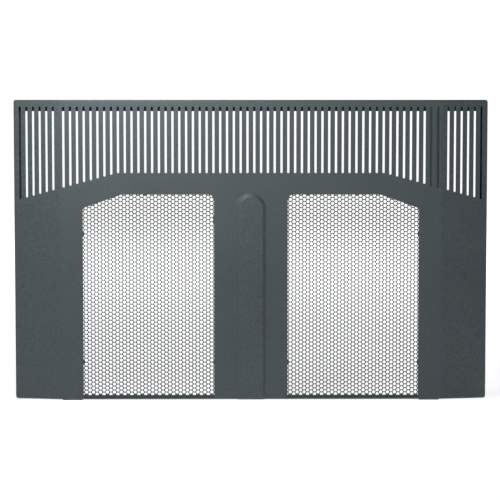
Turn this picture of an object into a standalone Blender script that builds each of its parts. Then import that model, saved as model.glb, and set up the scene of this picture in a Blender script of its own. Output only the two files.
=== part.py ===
"""Free-standing fireplace screen: a folded sheet-steel front with a slotted heat vent, two
perforated windows and a pressed centre rib, stood up by two triangular legs that swing on
butt hinges and fold flat behind it. Metres, +Z up, +X to the viewer's right, +Y to the back."""

import math

import bmesh
import bpy
from mathutils import Matrix, Vector

# Driving dimensions -------------------------------------------------------------------
SHEET = 0.0020  # thickness of the folded front
GAP = 0.0003  # clearance kept between pieces that touch
HEIGHT = 0.5950  # front panel, bottom edge to top edge
CENTRE_HALF = 0.3770  # middle of the panel to the fold of a wing
WING_WIDTH = 0.0941  # fold to outer edge, along the sheet
WING_ANGLE = math.radians(9.5)
FOLD_RADIUS = 0.0400
FOLD_STEPS = 4

LIP_CLEARANCE = 0.0007  # back of the uprights to the lips, which the returns carry past them
TOP_LIP = 0.0225
SIDE_LIP = 0.0170
BASE_LIP = 0.0060

SLOT_PITCH = 0.01345
SLOT_WIDTH = 0.0044
SLOTS_PER_HALF = 28  # on each side of the middle, between the folds
SLOTS_PER_WING = 6
FIRST_WING_SLOT = 0.0137  # fold to the middle of the first slot of a wing
SLOT_TOP_MARGIN = 0.0132
SLOT_FLOOR = 0.4505  # lower end of the slots across the middle
SLOT_KNEE = 0.2640  # where the lower ends start to step down
SLOT_SLOPE = math.tan(math.radians(15.0))
SLOT_END_STEPS = 4

WINDOW_INNER = 0.0727
WINDOW_OUTER = 0.3330
WINDOW_TOP = 0.4084
WINDOW_KNEE = 0.2560
WINDOW_SLOPE = math.radians(19.4)
WINDOW_SILL = 0.0035  # panel's lower edge to the bottom of a window
WINDOW_RADII = (0.0120, 0.0120, 0.0080)  # inner top corner, knee, outer corner
WINDOW_STEPS = 4

RIB_HALF = 0.0310
RIB_FLANK = 0.0090
RIB_HEIGHT = 0.0050
RIB_CROWN = 0.0030  # how far the rib's arch rises above the windows
RIB_STEPS = 12

MESH_THICKNESS = 0.0015
MESH_OVERLAP = 0.0150
STRIP_THICKNESS = 0.0020
STRIP_WIDTH = 0.0130
STUD_RADIUS = 0.0020
STUD_LENGTH = 0.0110
NUT_ACROSS = 0.0080
NUT_HEIGHT = 0.0040
STRIP_END = 0.0160  # stud to the end of its strip
STUD_LOW = 0.0700  # base flange to the lowest stud
STUD_HIGH = 0.0500  # top of the window down to the highest stud beside it
STUD_INSET = 0.0450  # window's inner edge, and its knee, to the studs above it

UPRIGHT_WIDTH = 0.0225
UPRIGHT_DEPTH = 0.0150
UPRIGHT_WALL = 0.0015
UPRIGHT_MARGIN = 0.0040  # upright's outer side to the fold
LEFT_UPRIGHT_TOP = 0.4150

PIN_RADIUS = 0.0020
PIN_HEAD = 0.0015
BARREL_RADIUS = 0.0035
HINGE_SETBACK = 0.0050  # back edge of the upright to the pin
HINGE_HEIGHT = 0.0500
HINGE_CENTRES = (0.0750, 0.3400)  # heights of the lower and upper hinge
LEAF_THICKNESS = 0.0015
LEAF_REACH = 0.0160
RIVET_RADIUS = 0.0016
RIVET_HEAD = 0.0031
RIVET_HEAD_HEIGHT = 0.0012
RIVET_SPACING = 0.0280
RIVET_LINE = 0.0100  # pin axis to the line of rivets

LEG_THICKNESS = 0.0030
LEG_HEIGHT = 0.4000
LEG_REACH = 0.1500  # pin to the back of the leg
LEG_BAR = 0.0280  # width of the leg's upright and foot
LEG_HEEL = 0.0300
LEG_TOP = 0.0350
LEG_CORNER = 0.0120
LEG_FOOT_RADII = (0.0020, 0.0040)  # front and back lower corners
LEG_SETBACK = 0.0010  # hinge knuckles to the leg's front edge

PAD_HEIGHT = 0.0015
PAD_LENGTH = 0.0400
PAD_DEPTH = 0.0140
LEG_PAD_SETBACK = 0.0050  # back edge of the leg to its pad
FRONT_PAD_SETBACK = 0.0040  # front face of the panel to its pads

ROUND_SIDES = 10
KNUCKLE_SIDES = 12
SMALL_SIDES = 8  # studs and rivets
CORNER_STEPS = 3
DRILL_REACH = 0.0100  # how far a drill runs past the piece on each side

COAT_COLOUR = (0.082, 0.098, 0.105)
ZINC_COLOUR = (0.55, 0.56, 0.57)
RUBBER_COLOUR = (0.02, 0.02, 0.02)

# Values that follow from them ---------------------------------------------------------
FOLD_TRIM = FOLD_RADIUS * math.tan(WING_ANGLE / 2)
FLAT_HALF = CENTRE_HALF - FOLD_TRIM
ARC_LENGTH = FOLD_RADIUS * WING_ANGLE
WING_FLAT = WING_WIDTH - FOLD_TRIM
BASE_Z = PAD_HEIGHT + GAP
TOP_Z = BASE_Z + HEIGHT
SLOT_TOP_Z = TOP_Z - SLOT_TOP_MARGIN
MESH_FRONT = SHEET + GAP
MESH_BACK = MESH_FRONT + MESH_THICKNESS
STRIP_FRONT = MESH_BACK + GAP
STRIP_BACK = STRIP_FRONT + STRIP_THICKNESS
FLOOR_OF_TRAY = BASE_Z + SHEET + GAP
UPRIGHT_OUTER = CENTRE_HALF - UPRIGHT_MARGIN
UPRIGHT_INNER = UPRIGHT_OUTER - UPRIGHT_WIDTH
UPRIGHT_FRONT = SHEET + GAP
UPRIGHT_BACK = UPRIGHT_FRONT + UPRIGHT_DEPTH
RETURN_DEPTH = UPRIGHT_BACK + LIP_CLEARANCE + SHEET  # front face to back face
LEAF_OFFSET = GAP / 2  # leaf faces sit this far to each side of the pin's axis
PIN_X = UPRIGHT_OUTER + GAP + LEAF_THICKNESS + LEAF_OFFSET
PIN_Y = UPRIGHT_BACK + HINGE_SETBACK
PIN_HOLE = PIN_RADIUS + GAP
LEG_FACE = LEAF_OFFSET + LEAF_THICKNESS + GAP  # pin axis to the leg's inner face
LEG_FRONT = BARREL_RADIUS + LEG_SETBACK
STUD_HOLE = STUD_RADIUS + GAP
RIVET_HOLE = RIVET_RADIUS + GAP
OVERALL_FRONT = -RIB_HEIGHT
OVERALL_BACK = PIN_Y + LEG_REACH
CENTRE_Y = (OVERALL_FRONT + OVERALL_BACK) / 2


# Materials ----------------------------------------------------------------------------
def material(name, colour, roughness, metallic):
    made = bpy.data.materials.new(name)
    made.use_nodes = True
    shader = made.node_tree.nodes["Principled BSDF"]
    shader.inputs["Base Color"].default_value = (*colour, 1.0)
    shader.inputs["Roughness"].default_value = roughness
    shader.inputs["Metallic"].default_value = metallic
    return made


# Mesh helpers -------------------------------------------------------------------------
def add_object(name, bm, finish, parent, smooth=True):
    """Turns a bmesh into an object hung on an empty, with flat faces kept flat."""
    bmesh.ops.recalc_face_normals(bm, faces=bm.faces)
    mesh = bpy.data.meshes.new(name)
    bm.to_mesh(mesh)
    bm.free()
    if finish:
        mesh.materials.append(finish)
    made = bpy.data.objects.new(name, mesh)
    bpy.context.scene.collection.objects.link(made)
    made.parent = parent
    if smooth:
        mesh.shade_smooth()
        mesh.set_sharp_from_angle(angle=math.radians(30))
    return made


def add_empty(name, location, parent=None):
    made = bpy.data.objects.new(name, None)
    bpy.context.scene.collection.objects.link(made)
    made.parent = parent
    made.location = location
    return made


def add_prism(bm, outline, to_world, start, end):
    """A closed prism: outline holds (a, b) points, to_world(a, b, c) places them at depth c."""
    rings = [[bm.verts.new(to_world(a, b, c)) for a, b in outline] for c in (start, end)]
    bm.faces.new(rings[0])
    bm.faces.new(rings[1])
    for i in range(len(outline)):
        j = (i + 1) % len(outline)
        bm.faces.new((rings[0][i], rings[0][j], rings[1][j], rings[1][i]))


def add_holed_plate(bm, outlines, to_world, start, end):
    """A plate with holes: the first outline is its edge and the others are its holes."""
    edges = []
    for outline in outlines:
        ring = [bm.verts.new(to_world(a, b, start)) for a, b in outline]
        edges += [bm.edges.new((ring[i - 1], ring[i])) for i in range(len(ring))]
    bmesh.ops.triangle_fill(bm, use_beauty=True, edges=edges)
    made = bmesh.ops.extrude_face_region(bm, geom=list(bm.faces))
    shift = Vector(to_world(0, 0, end)) - Vector(to_world(0, 0, start))
    moved = [item for item in made["geom"] if isinstance(item, bmesh.types.BMVert)]
    bmesh.ops.translate(bm, vec=shift, verts=moved)


def add_turned(bm, profile, place, sides=ROUND_SIDES):
    """Turns a profile of (radius, height) points round an axis, with closed ends."""
    rings = []
    for radius, height in profile:
        turns = [2 * math.pi * (i + 0.5) / sides for i in range(sides)]
        ring = [(radius * math.cos(t), radius * math.sin(t), height) for t in turns]
        rings.append([bm.verts.new(place @ Vector(point)) for point in ring])
    for low, high in zip(rings, rings[1:]):
        for i in range(sides):
            j = (i + 1) % sides
            bm.faces.new((low[i], low[j], high[j], high[i]))
    bm.faces.new(rings[0])
    bm.faces.new(rings[-1])


def add_tube(bm, outer, inner, low, high, place, sides=ROUND_SIDES):
    """A ring of flat sides, with a bore of as many sides."""
    rings = []
    for radius, height in ((outer, low), (outer, high), (inner, high), (inner, low)):
        turns = [2 * math.pi * (i + 0.5) / sides for i in range(sides)]
        ring = [(radius * math.cos(t), radius * math.sin(t), height) for t in turns]
        rings.append([bm.verts.new(place @ Vector(point)) for point in ring])
    for k in range(4):
        near, far = rings[k], rings[(k + 1) % 4]
        for i in range(sides):
            j = (i + 1) % sides
            bm.faces.new((near[i], near[j], far[j], far[i]))


def along(axis, point):
    """A placement that turns +Z to axis and moves the origin to point."""
    turn = Vector((0, 0, 1)).rotation_difference(Vector(axis)).to_matrix().to_4x4()
    return Matrix.Translation(point) @ turn


def boolean(target, operation, bm, name):
    """Joins or cuts target with a hidden helper made from bm."""
    helper = add_object(name, bm, None, target.parent, smooth=False)
    helper.hide_render = True
    helper.display_type = "WIRE"
    step = target.modifiers.new(name, "BOOLEAN")
    step.operation = operation
    step.object = helper
    return helper


def rounded(corners, radii, steps):
    """An outline with its corners rounded: each radius gives an arc of that many steps."""
    outline = []
    count = len(corners)
    for i, (corner, radius) in enumerate(zip(corners, radii)):
        here = Vector(corner)
        before = (Vector(corners[i - 1]) - here).normalized()
        after = (Vector(corners[(i + 1) % count]) - here).normalized()
        if radius <= 0:
            outline.append(tuple(here))
            continue
        half = before.angle(after) / 2
        centre = here + (before + after).normalized() * radius / math.sin(half)
        first = here + before * radius / math.tan(half) - centre
        sweep = math.pi - 2 * half
        turn = math.copysign(sweep, before.cross(after))
        for k in range(steps + 1):
            spun = first.copy()
            spun.rotate(Matrix.Rotation(-turn * k / steps, 2))
            outline.append(tuple(centre + spun))
    return outline


# The folded sheet ---------------------------------------------------------------------
def sheet_frame(s):
    """Point, tangent and backward normal of the front face at distance s from the middle."""
    side = math.copysign(1.0, s)
    reach = abs(s)
    if reach <= FLAT_HALF:
        return Vector((s, 0)), Vector((1, 0)), Vector((0, 1))
    turned = min((reach - FLAT_HALF) / FOLD_RADIUS, WING_ANGLE)
    x = FLAT_HALF + FOLD_RADIUS * math.sin(turned)
    y = FOLD_RADIUS * (1 - math.cos(turned))
    beyond = max(reach - FLAT_HALF - ARC_LENGTH, 0)
    x += beyond * math.cos(turned)
    y += beyond * math.sin(turned)
    tangent = Vector((math.cos(turned), side * math.sin(turned)))
    return Vector((side * x, y)), tangent, Vector((-side * math.sin(turned), math.cos(turned)))


def sheet_point(s, depth, z):
    point, _, normal = sheet_frame(s)
    at = point + normal * depth
    return (at.x, at.y, z)


def fold_distance(beyond_fold):
    """Distance along the sheet to a place that lies so far past the fold line."""
    return FLAT_HALF + ARC_LENGTH + beyond_fold - FOLD_TRIM


def folded_blank():
    """The front with its top and base returns and their lips, as one swept profile."""
    edge = fold_distance(WING_WIDTH)
    bends = [FLAT_HALF + ARC_LENGTH * k / FOLD_STEPS for k in range(FOLD_STEPS + 1)]
    half = [*bends, edge]
    stations = [-s for s in reversed(half)] + half
    back = RETURN_DEPTH
    profile = [
        (0, BASE_Z),
        (0, TOP_Z),
        (back, TOP_Z),
        (back, TOP_Z - TOP_LIP),
        (back - SHEET, TOP_Z - TOP_LIP),
        (back - SHEET, TOP_Z - SHEET),
        (SHEET, TOP_Z - SHEET),
        (SHEET, BASE_Z + SHEET),
        (back - SHEET, BASE_Z + SHEET),
        (back - SHEET, BASE_Z + BASE_LIP),
        (back, BASE_Z + BASE_LIP),
        (back, BASE_Z),
    ]
    bm = bmesh.new()
    rings = [[bm.verts.new(sheet_point(s, o, z)) for o, z in profile] for s in stations]
    for near, far in zip(rings, rings[1:]):
        for i in range(len(profile)):
            j = (i + 1) % len(profile)
            bm.faces.new((near[i], near[j], far[j], far[i]))
    bm.faces.new(rings[0])
    bm.faces.new(rings[-1])
    return bm


def side_return(side):
    """The hooked return on the outer edge of a wing, tucked just inside the sheet's edge."""
    edge, tangent, normal = sheet_frame(side * fold_distance(WING_WIDTH))
    outward = tangent * side

    def place(inset, depth, z):
        at = edge - outward * inset + normal * depth
        return (at.x, at.y, z)

    outline = [
        (GAP, SHEET / 2),
        (GAP, RETURN_DEPTH - GAP),
        (SIDE_LIP, RETURN_DEPTH - GAP),
        (SIDE_LIP, RETURN_DEPTH - GAP - SHEET),
        (GAP + SHEET, RETURN_DEPTH - GAP - SHEET),
        (GAP + SHEET, SHEET / 2),
    ]
    bm = bmesh.new()
    add_prism(bm, outline, place, BASE_Z + SHEET / 2, TOP_Z - SHEET / 2)
    return bm


def slot_places():
    """(distance along the sheet, lower end) of every slot, from one wing to the other."""
    half = [SLOT_PITCH * (i + 0.5) for i in range(SLOTS_PER_HALF)]
    wing = [FIRST_WING_SLOT + SLOT_PITCH * i for i in range(SLOTS_PER_WING)]
    half += [fold_distance(s) for s in wing]
    places = []
    for s in half:
        floor = BASE_Z + SLOT_FLOOR - max(0.0, s - SLOT_KNEE) * SLOT_SLOPE
        places += [(s, floor), (-s, floor)]
    return places


def slot_cutters():
    bm = bmesh.new()
    radius = SLOT_WIDTH / 2
    quarter = [math.pi * k / SLOT_END_STEPS for k in range(SLOT_END_STEPS + 1)]
    for s, floor in slot_places():
        point, tangent, normal = sheet_frame(s)

        def place(a, z, depth, point=point, tangent=tangent, normal=normal):
            at = point + tangent * a + normal * depth
            return (at.x, at.y, z)

        upper = [(radius * math.cos(t), SLOT_TOP_Z - radius + radius * math.sin(t)) for t in quarter]
        lower = [(-radius * math.cos(t), floor + radius - radius * math.sin(t)) for t in quarter]
        add_prism(bm, upper + lower, place, -SHEET * 2, SHEET * 3)
    return bm


def window_outline(side, grow, bottom):
    """Outline of a window, pushed outwards by grow, from a lower edge at bottom."""
    top = BASE_Z + WINDOW_TOP + grow
    inner = WINDOW_INNER - grow
    outer = WINDOW_OUTER + grow
    knee = WINDOW_KNEE + grow * math.tan(WINDOW_SLOPE / 2)
    drop = (outer - knee) * math.tan(WINDOW_SLOPE)
    corners = [(inner, bottom), (inner, top), (knee, top), (outer, top - drop), (outer, bottom)]
    radii = [0, *[radius + grow for radius in WINDOW_RADII], 0]
    return [(side * x, z) for x, z in rounded(corners, radii, WINDOW_STEPS)]


def facing(x, z, y):
    return (x, y, z)


def window_cutters():
    bm = bmesh.new()
    for side in (-1, 1):
        sill = BASE_Z + WINDOW_SILL
        add_prism(bm, window_outline(side, 0, sill), facing, -SHEET, SHEET * 2)
    return bm


def rib_form(shrink, rings, drop):
    """The pressed rib as a solid: rings holds (share of the flank, depth) from base to top."""
    crown = BASE_Z + WINDOW_TOP + RIB_CROWN
    centre = crown - RIB_HALF
    bm = bmesh.new()
    made = []
    for share, y in rings:
        radius = RIB_HALF - shrink - RIB_FLANK * share
        arc = [math.pi * k / RIB_STEPS for k in range(RIB_STEPS + 1)]
        outline = [(radius * math.cos(t), y, centre + radius * math.sin(t)) for t in arc]
        outline = [(radius, y, BASE_Z + drop), *outline, (-radius, y, BASE_Z + drop)]
        made.append([bm.verts.new(point) for point in outline])
    for near, far in zip(made, made[1:]):
        for i in range(len(near)):
            j = (i + 1) % len(near)
            bm.faces.new((near[i], near[j], far[j], far[i]))
    bm.faces.new(made[0])
    bm.faces.new(made[-1])
    return bm


def make_front_panel(finish, root):
    panel = add_object("front_panel", folded_blank(), finish, root, smooth=False)
    boolean(panel, "UNION", side_return(-1), "left_return_tool")
    boolean(panel, "UNION", side_return(1), "right_return_tool")
    outside = ((0, SHEET / 2), (0, 0), (1, -RIB_HEIGHT))
    boolean(panel, "UNION", rib_form(0, outside, SHEET / 4), "rib_punch_tool")
    hollow = ((0, SHEET * 2), (0, SHEET * 0.9), (1, SHEET - RIB_HEIGHT))
    boolean(panel, "DIFFERENCE", rib_form(SHEET, hollow, SHEET * 1.5), "rib_hollow_tool")
    boolean(panel, "DIFFERENCE", window_cutters(), "window_tool")
    boolean(panel, "DIFFERENCE", slot_cutters(), "slot_tool")
    boolean(panel, "UNION", stud_forms(), "weld_studs_tool")


# Perforated windows and what holds them -----------------------------------------------
def stud_places():
    """The two studs of each clamp strip of a window, as {strip: [(x, z), (x, z)]}."""
    inset = MESH_OVERLAP / 2
    low = FLOOR_OF_TRAY + STUD_LOW
    high = BASE_Z + WINDOW_TOP - STUD_HIGH
    shoulder = high - (WINDOW_OUTER - WINDOW_KNEE) * math.tan(WINDOW_SLOPE)
    inner, outer, top = WINDOW_INNER - inset, WINDOW_OUTER + inset, BASE_Z + WINDOW_TOP + inset
    return {
        "inner": [(inner, low), (inner, high)],
        "outer": [(outer, low), (outer, shoulder)],
        "top": [(WINDOW_INNER + STUD_INSET, top), (WINDOW_KNEE - STUD_INSET, top)],
    }


def stud_forms():
    bm = bmesh.new()
    for side in (-1, 1):
        for x, z in (place for pair in stud_places().values() for place in pair):
            place = along((0, 1, 0), (side * x, 0, z))
            add_turned(bm, [(STUD_RADIUS, SHEET / 2), (STUD_RADIUS, STUD_LENGTH)], place, SMALL_SIDES)
    return bm


def holes_at(places, radius, side):
    turns = [2 * math.pi * (k + 0.5) / ROUND_SIDES for k in range(ROUND_SIDES)]
    ring = [(radius * math.cos(t), radius * math.sin(t)) for t in turns]
    return [[(side * x + a, z + b) for a, b in ring] for x, z in places]


def make_strip(name, side, studs, finish, root):
    """A flat bar that clamps one edge of a window's sheet, round the line of its two studs."""
    (x0, z0), (x1, z1) = studs
    level = z0 == z1
    reach_x, reach_z = (STRIP_END, STRIP_WIDTH / 2) if level else (STRIP_WIDTH / 2, STRIP_END)
    west, east = x0 - reach_x, x1 + reach_x
    low, high = z0 - reach_z, z1 + reach_z
    outline = [(side * x, z) for x, z in ((west, low), (east, low), (east, high), (west, high))]
    bm = bmesh.new()
    holes = holes_at(studs, STUD_HOLE, side)
    add_holed_plate(bm, [outline, *holes], facing, STRIP_FRONT, STRIP_BACK)
    add_object(name, bm, finish, root)


def make_nut(name, place, finish, root):
    """A hexagon nut on a stud, with its bore kept clear of the stud."""
    bm = bmesh.new()
    corner = math.cos(math.pi / 6)
    start = STRIP_BACK + GAP
    x, z = place
    centred = along((0, 1, 0), (x, 0, z))
    add_tube(bm, NUT_ACROSS / 2 / corner, STUD_HOLE / corner, start, start + NUT_HEIGHT, centred, 6)
    add_object(name, bm, finish, root)


def make_window(name, side, finish, fixings, root):
    strips = stud_places()
    studs = [place for pair in strips.values() for place in pair]
    bm = bmesh.new()
    outline = window_outline(side, MESH_OVERLAP, FLOOR_OF_TRAY)
    holes = holes_at(studs, STUD_HOLE, side)
    add_holed_plate(bm, [outline, *holes], facing, MESH_FRONT, MESH_BACK)
    add_object(f"{name}_perforated_sheet", bm, finish, root)
    for strip, pair in strips.items():
        make_strip(f"{name}_{strip}_clamp_strip", side, pair, finish, root)
        for number, (x, z) in enumerate(pair, 1):
            make_nut(f"{name}_{strip}_nut_{number}", (side * x, z), fixings, root)


# Uprights, hinges and legs ------------------------------------------------------------
def rivet_heights():
    return [z + k * RIVET_SPACING / 2 for z in HINGE_CENTRES for k in (-1, 1)]


def rivet_cutters(x0, x1, y):
    bm = bmesh.new()
    for z in rivet_heights():
        place = along((1, 0, 0), (x0, y, z))
        add_turned(bm, [(RIVET_HOLE, 0), (RIVET_HOLE, x1 - x0)], place)
    return bm


def make_upright(name, side, top, finish, root):
    """A channel welded behind a stile, open to the back, that carries the leg's hinges."""
    inner, outer, wall = UPRIGHT_INNER, UPRIGHT_OUTER, UPRIGHT_WALL
    outline = [
        (side * inner, UPRIGHT_FRONT),
        (side * outer, UPRIGHT_FRONT),
        (side * outer, UPRIGHT_BACK),
        (side * (outer - wall), UPRIGHT_BACK),
        (side * (outer - wall), UPRIGHT_FRONT + wall),
        (side * (inner + wall), UPRIGHT_FRONT + wall),
        (side * (inner + wall), UPRIGHT_BACK),
        (side * inner, UPRIGHT_BACK),
    ]
    bm = bmesh.new()
    add_prism(bm, outline, lambda x, y, z: (x, y, z), FLOOR_OF_TRAY, top)
    made = add_object(f"{name}_upright", bm, finish, root)
    reach = sorted((side * (outer - wall * 2), side * (outer + wall)))
    cutter = rivet_cutters(*reach, PIN_Y - RIVET_LINE)
    boolean(made, "DIFFERENCE", cutter, f"{name}_upright_drill")


def make_leaf(name, side, centre, fixed, finish, parent, origin):
    """One leaf of a butt hinge with its knuckles, drilled for the pin and two rivets."""
    knuckle = HINGE_HEIGHT / 3
    low = centre - HINGE_HEIGHT / 2
    away = -1 if fixed else 1
    near_x, far_x = (-LEAF_OFFSET, -LEAF_OFFSET - LEAF_THICKNESS)
    if not fixed:
        near_x, far_x = -near_x, -far_x
    plate = [(near_x, 0), (far_x, 0), (far_x, away * LEAF_REACH), (near_x, away * LEAF_REACH)]
    bm = bmesh.new()
    outline = [(side * x, y) for x, y in plate]
    inset = GAP
    add_prism(bm, outline, lambda x, y, z: (x, y, z), low + inset, low + HINGE_HEIGHT - inset)
    leaf = add_object(name, bm, finish, parent, smooth=False)
    leaf.location = origin
    spans = [(0, 1), (2, 3)] if fixed else [(1, 2)]
    barrels, clear = bmesh.new(), bmesh.new()
    for k in range(3):
        a, b = low + knuckle * k + GAP, low + knuckle * (k + 1) - GAP
        if (k, k + 1) in spans:
            profile = [(BARREL_RADIUS, a), (BARREL_RADIUS, b)]
            add_turned(barrels, profile, Matrix(), KNUCKLE_SIDES)
        else:
            room = BARREL_RADIUS + GAP * 2
            profile = [(room, a - GAP * 2), (room, b + GAP * 2)]
            add_turned(clear, profile, Matrix(), KNUCKLE_SIDES)
    bore = bmesh.new()
    ends = low - DRILL_REACH, low + HINGE_HEIGHT + DRILL_REACH
    add_turned(bore, [(PIN_HOLE, end) for end in ends], Matrix(), KNUCKLE_SIDES)
    y = away * RIVET_LINE
    rivets = bmesh.new()
    for k in (-1, 1):
        place = along((1, 0, 0), (-DRILL_REACH, y, centre + k * RIVET_SPACING / 2))
        add_turned(rivets, [(RIVET_HOLE, 0), (RIVET_HOLE, DRILL_REACH * 2)], place)
    steps = (
        ("DIFFERENCE", clear, "notch"),
        ("UNION", barrels, "knuckles"),
        ("DIFFERENCE", bore, "bore"),
        ("DIFFERENCE", rivets, "drill"),
    )
    for operation, tool, label in steps:
        boolean(leaf, operation, tool, f"{name}_{label}").location = origin
    return leaf


def make_rivet(name, side, x0, x1, y, z, finish, parent, origin):
    """A solid rivet along X, with a head past each end of the stack from x0 to x1."""
    grip = x1 - x0 + 2 * GAP
    profile = [
        (RIVET_HEAD, -RIVET_HEAD_HEIGHT),
        (RIVET_HEAD, 0),
        (RIVET_RADIUS, 0),
        (RIVET_RADIUS, grip),
        (RIVET_HEAD, grip),
        (RIVET_HEAD, grip + RIVET_HEAD_HEIGHT),
    ]
    bm = bmesh.new()
    add_turned(bm, profile, along((side, 0, 0), (side * (x0 - GAP), y, z)), SMALL_SIDES)
    add_object(name, bm, finish, parent).location = origin


def leg_outline():
    """Outer edge of a leg as (distance behind the pin, height), and its triangular hole."""
    front, back = LEG_FRONT, LEG_REACH
    top = BASE_Z + LEG_HEIGHT
    outer = [
        (front, BASE_Z),
        (back, BASE_Z),
        (back, BASE_Z + LEG_HEEL),
        (front + LEG_TOP, top),
        (front, top),
    ]
    radii = [*LEG_FOOT_RADII, LEG_CORNER, LEG_CORNER, LEG_CORNER / 2]
    edge = rounded(outer, radii, CORNER_STEPS)
    rear_low = Vector((back, BASE_Z + LEG_HEEL))
    rear_high = Vector((front + LEG_TOP, top))
    run = (rear_high - rear_low).normalized()
    inward = Vector((-run.y, run.x))
    edge_point = rear_low + inward * LEG_BAR
    hole_front = front + LEG_BAR
    hole_floor = BASE_Z + LEG_BAR

    def on_slant(height):
        return edge_point.x + run.x * (height - edge_point.y) / run.y

    def slant_height(y):
        return edge_point.y + run.y * (y - edge_point.x) / run.x

    hole = [
        (hole_front, hole_floor),
        (on_slant(hole_floor), hole_floor),
        (hole_front, slant_height(hole_front)),
    ]
    return edge, rounded(hole, [LEG_CORNER, LEG_CORNER, LEG_CORNER / 3], CORNER_STEPS)


def make_leg(name, side, finish, pivot, origin):
    edge, hole = leg_outline()
    y = RIVET_LINE
    turns = [2 * math.pi * (k + 0.5) / ROUND_SIDES for k in range(ROUND_SIDES)]
    ring = [(RIVET_HOLE * math.cos(t), RIVET_HOLE * math.sin(t)) for t in turns]
    holes = [[(y + a, z + b) for a, b in ring] for z in rivet_heights()]
    bm = bmesh.new()
    add_holed_plate(
        bm,
        [edge, hole, *holes],
        lambda a, b, c: (side * c, a, b),
        LEG_FACE,
        LEG_FACE + LEG_THICKNESS,
    )
    add_object(f"{name}_leg", bm, finish, pivot).location = origin


def make_pad(name, low, high, finish, parent):
    bm = bmesh.new()
    outline = [(low[0], low[1]), (high[0], low[1]), (high[0], high[1]), (low[0], high[1])]
    add_prism(bm, outline, lambda x, y, z: (x, y, z), 0, PAD_HEIGHT)
    return add_object(name, bm, finish, parent)


def make_side(name, side, finishes, root):
    """Everything that makes one leg: its pivot empty, hinges, rivets, plate and pads."""
    coat, steel, rubber = finishes
    pivot = add_empty(f"{name}_leg_pivot", (side * PIN_X, PIN_Y, 0), root)
    at_pin = Vector((side * PIN_X, PIN_Y, 0))
    for place, centre in zip(("lower", "upper"), HINGE_CENTRES):
        label = f"{name}_{place}_hinge"
        make_leaf(f"{label}_frame_leaf", side, centre, True, steel, root, at_pin)
        make_leaf(f"{label}_leg_leaf", side, centre, False, steel, pivot, (0, 0, 0))
        low, high = centre - HINGE_HEIGHT / 2, centre + HINGE_HEIGHT / 2
        profile = [(PIN_RADIUS, low), (PIN_RADIUS, high + GAP)]
        profile += [(BARREL_RADIUS, high + GAP), (BARREL_RADIUS, high + GAP + PIN_HEAD)]
        bm = bmesh.new()
        add_turned(bm, profile, Matrix())
        add_object(f"{label}_pin", bm, steel, root).location = at_pin
    leaf_far = -(LEAF_OFFSET + LEAF_THICKNESS)
    upright_stack = (leaf_far - GAP - UPRIGHT_WALL, -LEAF_OFFSET)
    leg_stack = (LEAF_OFFSET, LEG_FACE + LEG_THICKNESS)
    for number, z in enumerate(rivet_heights(), 1):
        fixed, moving = f"{name}_frame_rivet_{number}", f"{name}_leg_rivet_{number}"
        make_rivet(fixed, side, *upright_stack, -RIVET_LINE, z, steel, root, at_pin)
        make_rivet(moving, side, *leg_stack, RIVET_LINE, z, steel, pivot, (0, 0, 0))
    make_leg(name, side, coat, pivot, (0, 0, 0))
    middle = LEG_FACE + LEG_THICKNESS / 2
    ends = sorted(side * (middle + k * LEG_THICKNESS) for k in (-1, 1))
    back = LEG_REACH - LEG_PAD_SETBACK
    make_pad(f"{name}_leg_pad", (ends[0], back - PAD_LENGTH), (ends[1], back), rubber, pivot)
    centre = side * (WINDOW_OUTER + CENTRE_HALF) / 2
    low = (centre - PAD_LENGTH / 2, FRONT_PAD_SETBACK)
    high = (centre + PAD_LENGTH / 2, FRONT_PAD_SETBACK + PAD_DEPTH)
    make_pad(f"{name}_front_pad", low, high, rubber, root)


def clear_scene():
    for item in list(bpy.data.objects):
        bpy.data.objects.remove(item)


def main():
    clear_scene()
    coat = material("graphite_powder_coat", COAT_COLOUR, 0.55, 0.0)
    perforated = material("perforated_steel", COAT_COLOUR, 0.5, 0.0)
    steel = material("zinc_plated_steel", ZINC_COLOUR, 0.35, 1.0)
    rubber = material("black_rubber", RUBBER_COLOUR, 0.85, 0.0)
    root = add_empty("screen_origin", (0, -CENTRE_Y, 0))
    make_front_panel(coat, root)
    make_upright("left", -1, LEFT_UPRIGHT_TOP, coat, root)
    make_upright("right", 1, TOP_Z - SHEET - GAP, coat, root)
    for name, side in (("left", -1), ("right", 1)):
        make_window(name, side, perforated, steel, root)
        make_side(name, side, (coat, steel, rubber), root)


main()
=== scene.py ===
"""Fireplace screen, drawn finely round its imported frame: the folded and punched front, the
perforated windows, and the clamps, uprights, hinges and legs behind them. Lengths are in metres."""

import math

import bmesh
import bpy
import numpy as np
from bpy.props import FloatProperty, IntProperty, PointerProperty, StringProperty
from mathutils import Euler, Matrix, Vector
from mathutils.geometry import delaunay_2d_cdt


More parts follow.
